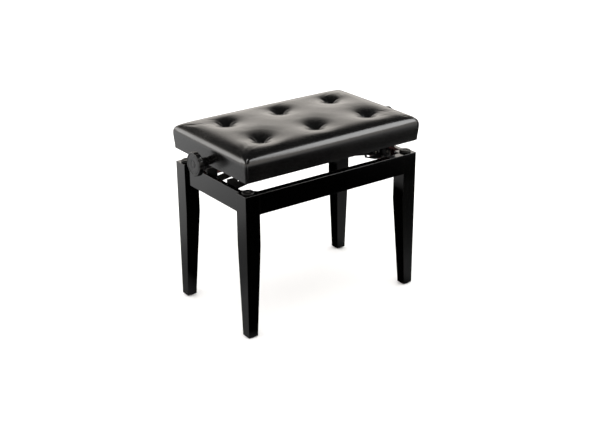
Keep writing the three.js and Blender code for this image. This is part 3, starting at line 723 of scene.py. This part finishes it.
class Cushion:
    """The cushion's outside: rings up its walls and shoulder, then a square grid on top."""

    def __init__(self, shrink, foot, cells, end_step, ring_step, wall_step):
        """foot lists (inset, height, corner radius) from the bottom edge to the walls."""
        self.shrink = shrink
        self.half_x, self.half_y = HALF_X - shrink, HALF_Y - shrink
        nx, ny = cells
        self.px = clustered(nx, HALF_X, end_step)
        self.py = clustered(ny, HALF_Y, end_step)
        self.points, self.faces, self.loops = [], [], []
        self.corner_at = []  # for each ring's point: the way round to the nearest corner
        for inset, height, radius in foot:
            self.ring(inset, height, radius)
        low = foot[-1][1]
        for z in np.linspace(low, WALL_TOP, int((WALL_TOP - low) / wall_step) + 1)[1:-1]:
            self.ring(-BULGE * smooth_step(z, WALL_FOOT, WALL_TOP), z, CORNER_RADII[0][1])
        length = np.interp(RIM_INSET, SECTION_INSET, SECTION_ARC)
        for arc in np.linspace(0, length, int(length / ring_step) + 1):
            inset = float(np.interp(arc, SECTION_ARC, SECTION_INSET))
            radius = float(np.interp(inset, *zip(*CORNER_RADII)))
            self.ring(inset, None, radius)
        self.grid(nx, ny)
        self.points = np.array(self.points)
        top = self.points[:, 2] > WALL_TOP + 8 - shrink
        self.points[top, 2] -= tuft_drop(self.points[top, 0], self.points[top, 1])

    def ring(self, inset, height, radius):
        loop = []
        half_x, half_y = self.half_x - inset, self.half_y - inset
        for side, spots in enumerate((self.px, self.py, self.px, self.py)):
            half = (half_x, half_y)[side % 2] - radius + radius * math.pi / 4
            for p in spots[:-1]:
                loop.append(len(self.points))
                x, y = outline_point(side, p, half_x, half_y, radius)
                self.points.append((x, y, height or self.height_at(x, y, inset)))
                self.corner_at.append((1 - abs(p)) * half * (-1 if side % 2 else 1))
        if self.loops:
            below = self.loops[-1]
            for i, vertex in enumerate(loop):
                j = (i + 1) % len(loop)
                self.faces.append((below[i], below[j], loop[j], vertex))
        self.loops.append(loop)

    def height_at(self, x, y, inset):
        """The top's height: it rises with the inset, and less so near a corner."""
        across, along = self.half_x + BULGE - abs(x), self.half_y + BULGE - abs(y)
        both = 1 / math.hypot(1 / max(across, 0.1), 1 / max(along, 0.1)) - BULGE
        return float(top_height(min(inset, both))) - self.shrink

    def grid(self, nx, ny):
        rim = self.loops[-1]
        known = {}
        for i in range(nx):
            known[i, 0], known[nx - i, ny] = rim[i], rim[nx + ny + i]
        for j in range(ny):
            known[nx, j], known[0, ny - j] = rim[nx + j], rim[2 * nx + ny + j]
        reach_x, reach_y = self.half_x - RIM_INSET, self.half_y - RIM_INSET
        for i in range(nx + 1):
            for j in range(ny + 1):
                if (i, j) not in known:
                    x, y = self.px[i] * reach_x, self.py[j] * reach_y
                    inset = min(self.half_x - abs(x), self.half_y - abs(y))
                    known[i, j] = len(self.points)
                    self.points.append((x, y, self.height_at(x, y, inset)))
        for i in range(nx):
            for j in range(ny):
                self.faces.append((known[i, j], known[i + 1, j],
                                   known[i + 1, j + 1], known[i, j + 1]))

    def open_bush_holes(self):
        """Opens the end walls where the spindle's bushes pass, and rounds the openings."""
        off_axis = self.points[:, 1:] - (0, BUSH_Z)
        distance = np.hypot(*off_axis.T)
        near = (np.abs(self.points[:, 0]) > self.half_x - 2) & (distance < BUSH_HOLE + 1.5)
        gone = [face for face in self.faces if near[list(face)].all()]
        self.faces = [face for face in self.faces if not near[list(face)].all()]
        for vertex in {v for face in gone for v in face}:
            self.points[vertex, 1:] = (0, BUSH_Z) + off_axis[vertex] * BUSH_HOLE / distance[vertex]


def normals_of(mesh):
    values = np.empty(len(mesh.vertices) * 3)
    mesh.vertices.foreach_get("normal", values)
    return values.reshape(-1, 3)


def points_of(mesh):
    values = np.empty(len(mesh.vertices) * 3)
    mesh.vertices.foreach_get("co", values)
    return values.reshape(-1, 3)


def fold_corners(mesh, corner_at):
    """Lays the pleat that closes each corner: a groove beside it, on the long side's face."""
    around = np.full(len(mesh.vertices), 1000.0)
    around[:len(corner_at)] = corner_at
    points = points_of(mesh)
    height = points[:, 2] / MM
    depth = smooth_step(height, 491, 482) * (0.5 + 0.5 * smooth_step(height, 430, 458))
    groove = PLEAT_DEPTH * np.exp(-(((around - PLEAT_AT) / PLEAT_WIDTH) ** 2))
    lip = LIP_HEIGHT * np.exp(-(((around - PLEAT_AT + LIP_BEFORE) / LIP_WIDTH) ** 2))
    points += normals_of(mesh) * ((lip - groove) * depth * MM)[:, None]
    mesh.vertices.foreach_set("co", points.ravel())
    mesh.update()


def softened(mesh, values, rounds):
    """Averages a value per point with its neighbours' values."""
    ends = np.empty(len(mesh.edges) * 2, dtype=int)
    mesh.edges.foreach_get("vertices", ends)
    a, b = ends.reshape(-1, 2).T
    count = np.maximum(np.bincount(ends, minlength=len(values)), 1)[:, None]
    for _ in range(rounds):
        total = np.zeros_like(values)
        np.add.at(total, a, values[b])
        np.add.at(total, b, values[a])
        values = (values + total / count) / 2
    return values


def inflate(cover, held):
    """Fills the cover by a cloth simulation and keeps its result, within limits, in the mesh."""
    start, normals = points_of(cover.data), normals_of(cover.data)
    group = cover.vertex_groups.new(name="held")
    group.add([int(i) for i in np.flatnonzero(held)], 1.0, "REPLACE")
    cloth = cover.modifiers.new("cloth", "CLOTH")
    settings = cloth.settings
    settings.quality = 6
    settings.mass = CLOTH_MASS
    settings.tension_stiffness = settings.compression_stiffness = CLOTH_STRETCH
    settings.shear_stiffness = CLOTH_SHEAR
    settings.bending_stiffness = CLOTH_BEND
    settings.vertex_group_mass = "held"
    settings.use_pressure = True
    settings.uniform_pressure_force = CLOTH_PRESSURE
    settings.effector_weights.gravity = 0
    cloth.collision_settings.use_collision = False
    scene = bpy.context.scene
    for frame_number in range(1, CLOTH_FRAMES + 1):
        scene.frame_set(frame_number)
    settled = cover.evaluated_get(bpy.context.evaluated_depsgraph_get()).to_mesh()
    moved = points_of(settled) - start
    cover.evaluated_get(bpy.context.evaluated_depsgraph_get()).to_mesh_clear()
    scene.frame_set(1)
    cover.modifiers.remove(cloth)
    cover.vertex_groups.clear()
    moved = softened(cover.data, moved, CLOTH_SOFTENING)
    along = (moved * normals).sum(axis=1)
    aside = moved - normals * along[:, None]
    most = np.maximum(np.linalg.norm(aside, axis=1) / (CLOTH_ASIDE * MM), 1)[:, None]
    along = np.clip(along, CLOTH_LIMITS[0] * MM, CLOTH_LIMITS[1] * MM)
    cover.data.vertices.foreach_set("co", (start + normals * along[:, None] + aside / most).ravel())
    cover.data.update()


def make_cover():
    foot = [(22, HEM, 2), (14, HEM, 2), (7, HEM, 3), (2, HEM, 4), (0.5, HEM + 0.2, 4.6),
            (0, HEM + 0.8, 5), (0, WALL_FOOT + 1, 5)]
    cushion = Cushion(0, foot, (132, 80), 1.3, 2.6, 4)
    cushion.open_bush_holes()
    shape = Shape()
    shape.add(cushion.points, cushion.faces)
    cover = shape.piece("seat_cover_vinyl", [VINYL], "seat", "black_vinyl", ["seat_cover"], 180)
    height = cushion.points[:, 2]
    from_tuft = np.min([np.hypot(cushion.points[:, 0] - x, cushion.points[:, 1] - y)
                        for x, y in TUFTS.values()], axis=0)
    inflate(cover, (height < CLOTH_HELD_BELOW) | (from_tuft < TUFT_EYE + 1))
    fold_corners(cover.data, cushion.corner_at)
    skin = cover.modifiers.new("skin", "SOLIDIFY")
    skin.thickness = SKIN * MM
    skin.offset = -1
    smooth = cover.modifiers.new("smooth", "SUBSURF")
    smooth.levels = smooth.render_levels = 1


def make_foam():
    cushion = Cushion(2.6, [(0, 470.5, 5)], (60, 36), 4, 5, 3)
    shape = Shape()
    shape.add(cushion.points, cushion.faces + [tuple(reversed(cushion.loops[0]))])
    foam = shape.piece("foam_pad_block", [FOAM], "seat", "foam", ["foam_pad"], 60)


def make_button(name, x, y):
    """A domed button covered in the same vinyl, sunk in its tuft."""
    shape = Shape()
    profile = rounded([(0, 5.4), (5.5, 4.9), (8.6, 2.6), (8.6, 1.2), (6.5, 0), (0, 0)], 2)
    shape.turned(profile, (x, y, 479.4), (0, 0, 1), 28)
    shape.piece(f"tuft_button_{name}", [VINYL], "seat", "black_vinyl", [f"button_{name}"], 60)


make_cover()
make_foam()
for name, (x, y) in TUFTS.items():
    make_button(name, x, y)


# ---------------------------------------------------------------- hand knobs and spindle
SPINDLE_Z, SPINDLE_END, KNOB_FACE, KNOB_LENGTH, KNOB_RADIUS = 438.0, 300.0, 320.0, 40.5, 31.5
FLUTES, FLUTE_DEPTH = 10, 1.4
THREAD_FROM, THREAD_TO, THREAD_PITCH, THREAD_DEPTH = 128.0, 262.0, 3.07, 0.75


def fluted(radius, along, turn):
    """Shallow finger grooves round the knob's disc."""
    reach = smooth_step(radius, KNOB_RADIUS - 3.5, KNOB_RADIUS - 1) * smooth_step(along, 26, 30)
    return radius - FLUTE_DEPTH * reach * max(0.0, math.cos(FLUTES * turn)) ** 2


def make_knob(name, sx):
    """A fluted disc on a tapering hub, with a ring and a cap in its face and a blind bore."""
    profile = [(0, 20.8), (6.3, 20.8)] + rounded(
        [(6.3, 20), (6.3, 0), (11, 0), (11.4, 10), (13.4, 18), (18.5, 25), (22, 27.5), (31.5, 27.5),
         (31.5, 40.5), (26.6, 40.5), (26.3, 39.7), (25.3, 39.7), (25, 40.3), (9.6, 40.0),
         (9.3, 39.4), (8.9, 39.4), (8.6, 40.3), (0, 40.5)], 2.4, 5)
    shape = Shape()
    shape.turned(profile, (sx * (KNOB_FACE - KNOB_LENGTH), 0, SPINDLE_Z), (sx, 0, 0), 120, fluted)
    shape.piece(f"hand_knob_{name}", [PLASTIC], "spindle", "black_plastic", [f"knob_{name}"], 40)


def threaded(radius, along, turn):
    """The trapezoidal thread that the drive nut runs on."""
    x = along - SPINDLE_END
    if radius < 5.9 or not THREAD_FROM < x < THREAD_TO:
        return radius
    phase = (x / THREAD_PITCH + turn / (2 * math.pi)) % 1
    return radius - THREAD_DEPTH * float(smooth_step(abs(phase - 0.5), 0.32, 0.18))


def make_spindle():
    thread = np.arange(THREAD_FROM, THREAD_TO, THREAD_PITCH / 10) + SPINDLE_END
    plain = [(0, 0), (5.2, 0), (6, 0.8), (6, THREAD_FROM + SPINDLE_END - 1)]
    length = 2 * SPINDLE_END
    far = [(6, THREAD_TO + SPINDLE_END + 1), (6, length - 0.8), (5.2, length), (0, length)]
    shape = Shape()
    shape.turned(plain + [(6, along) for along in thread] + far,
                 (-SPINDLE_END, 0, SPINDLE_Z), (1, 0, 0), 28, threaded)
    shape.piece("threaded_spindle", [ZINC["X"]], "spindle", "bright_steel", ["spindle"], 50)


for name, sx in ENDS:
    make_knob(name, sx)
make_spindle()


# ---------------------------------------------------------------- rods, pins and rollers
for node, material in (("lower_pivot_rod", ZINC["Y"]), ("roller_rod", ZINC["Y"])):
    refine(node, [material], 0.8, 3)
for name, _ in ROWS:
    refine(f"centre_pin_{name}", [ZINC["Y"]], 1.2, 4)
    refine(f"roller_{name}", [NYLON], 0.7, 3)


# ---------------------------------------------------------------- bumpers and glides
BUMPER_AT, GLIDE_AT = (254.0, 144.0), (261.0, 151.0)
LEG_TOP = 390.3


def make_bumper(name, sx, sy):
    """A turned rubber buffer with a sunk screw."""
    shape = Shape()
    profile = [(0, 3), (5.6, 3)] + rounded(
        [(5.6, 3), (6.6, 5.3), (13.2, 5.3), (15.5, 3.6), (15.5, 0), (0, 0)], 1.2, 4)
    shape.turned(profile, (sx * BUMPER_AT[0], sy * BUMPER_AT[1], LEG_TOP), (0, 0, 1), 48)
    shape.piece(f"rubber_bumper_{name}", [RUBBER], "base", "rubber", [f"bumper_{name}"])


def make_glide(name, sx, sy):
    """A turned plastic glide with a dished sole round its nail."""
    shape = Shape()
    profile = [(0, 1.1), (2.6, 0.9), (3, 0.6)] + rounded(
        [(3.4, 0.5), (9.5, 0), (12, 1.0), (12, 2.7), (0, 2.7)], 1, 4)
    shape.turned(profile, (sx * GLIDE_AT[0], sy * GLIDE_AT[1], 0), (0, 0, 1), 40)
    shape.piece(f"nailed_glide_{name}", [PLASTIC], "base", "black_plastic", [f"foot_glide_{name}"])


for name, sx, sy in CORNERS:
    make_bumper(name, sx, sy)
    make_glide(name, sx, sy)


# ---------------------------------------------------------------- screws and staples
BRACKET_SCREWS_Z, END_SCREWS_Z = (352, 372), (352, 380)
INSIDE_LONG_APRON, INSIDE_END_APRON = 140.6, 250.6  # the screws' seats on the brackets
SCREW_SIDES = 16


def add_screw(shape, origin, axis, radius=4.0, height=2.3):
    """A pan head with a cross recess."""
    along = Vector(axis).normalized()
    side = along.orthogonal().normalized()
    other = along.cross(side)
    rings = [(radius * 0.98, 0, 0), (radius, height * 0.3, 0),
             (radius * 0.86, height * 0.75, 0), (radius * 0.58, height, 0),
             (radius * 0.5, height, 0), (radius * 0.3, height * 0.95, 1)]
    vertices = [Vector(origin)]
    for reach, rise, cross in rings:
        for step in range(SCREW_SIDES):
            turn = 2 * math.pi * step / SCREW_SIDES
            sunk = 1.1 if cross and step % (SCREW_SIDES // 4) == 0 else 0.15 * cross
            vertices.append(Vector(origin) + along * (rise - sunk)
                            + (side * math.cos(turn) + other * math.sin(turn)) * reach)
    vertices.append(Vector(origin) + along * (height - 1.3))
    last = 1 + (len(rings) - 1) * SCREW_SIDES
    faces = []
    for i in range(SCREW_SIDES):
        j = (i + 1) % SCREW_SIDES
        faces.append((0, 1 + j, 1 + i))
        for low in range(1, last, SCREW_SIDES):
            high = low + SCREW_SIDES
            faces.append((low + i, low + j, high + j, high + i))
        faces.append((last + i, last + j, len(vertices) - 1))
    shape.add(vertices, faces)


def make_screws():
    frame_screws, seat_screws = Shape(), Shape()
    for _, sx, sy in CORNERS:
        for z in BRACKET_SCREWS_Z:
            add_screw(frame_screws, (sx * 187, sy * INSIDE_LONG_APRON, z), (0, -sy, 0))
            add_screw(frame_screws, (sx * INSIDE_END_APRON, sy * 77, z), (-sx, 0, 0))
        in_bumper = (sx * BUMPER_AT[0], sy * BUMPER_AT[1], LEG_TOP + 2.9)
        add_screw(frame_screws, in_bumper, (0, 0, 1), 4.2, 2)
    for _, sx in ENDS:
        for y in (-58, 58):
            for z in END_SCREWS_Z:
                add_screw(frame_screws, (sx * INSIDE_END_APRON, y, z), (-sx, 0, 0), 3.6, 2)
    for _, sy in ROWS:
        for x in (-225, -75, 75, 225):
            add_screw(seat_screws, (x, sy * 60, 454.6), (0, 0, -1), 3.8, 2)
    frame_screws.piece("frame_screws", [ZINC["Z"]], "base", "bright_steel")
    seat_screws.piece("rail_screws", [ZINC["Z"]], "seat", "bright_steel")


STAPLE_PITCH, STAPLE_INSET, STAPLE_MARGIN = 27.0, 15.0, 52.0
STAPLE_BEND = [(-5, 0.9), (-4.8, 0.2), (-4.2, 0), (4.2, 0), (4.8, 0.2), (5, 0.9)]
STAPLE_SECTION = [(-0.35, -0.25), (0.35, -0.25), (0.35, 0.2), (0, 0.35), (-0.35, 0.2)]


def add_staple(shape, centre, run):
    """A staple's crown, with both of its ends bent up into the wood."""
    up, around = Vector((0, 0, 1)), len(STAPLE_SECTION)
    vertices = [centre + run * offset + run.cross(up) * u + Vector((0, 0, rise - v))
                for offset, rise in STAPLE_BEND for u, v in STAPLE_SECTION]
    faces = [tuple(range(around)), tuple(range(len(vertices) - around, len(vertices)))]
    for low in range(0, len(vertices) - around, around):
        high = low + around
        for i in range(around):
            j = (i + 1) % around
            faces.append((low + i, low + j, high + j, high + i))
    shape.add(vertices, faces)


def make_staples():
    """The staples that hold the cover's hem to the rails, slightly askew as driven by hand."""
    shape = Shape()
    for half, across, along, out in ((HALF_X, HALF_Y, Vector((1, 0, 0)), Vector((0, 1, 0))),
                                     (HALF_Y, HALF_X, Vector((0, 1, 0)), Vector((1, 0, 0)))):
        reach = half - STAPLE_MARGIN
        count = int(2 * reach / STAPLE_PITCH)
        for sign in (-1, 1):
            row = out * sign * (across - STAPLE_INSET) + Vector((0, 0, HEM - 0.3))
            for k in range(count + 1):
                tilt = 0.12 * math.sin(7.3 * k + 2.1 * sign + half)
                run = along * math.cos(tilt) + out * math.sin(tilt)
                add_staple(shape, along * ((k / count - 0.5) * 2 * reach) + row, run)
    shape.piece("hem_staples", [ZINC["Z"]], "seat", "bright_steel")


make_screws()
make_staples()
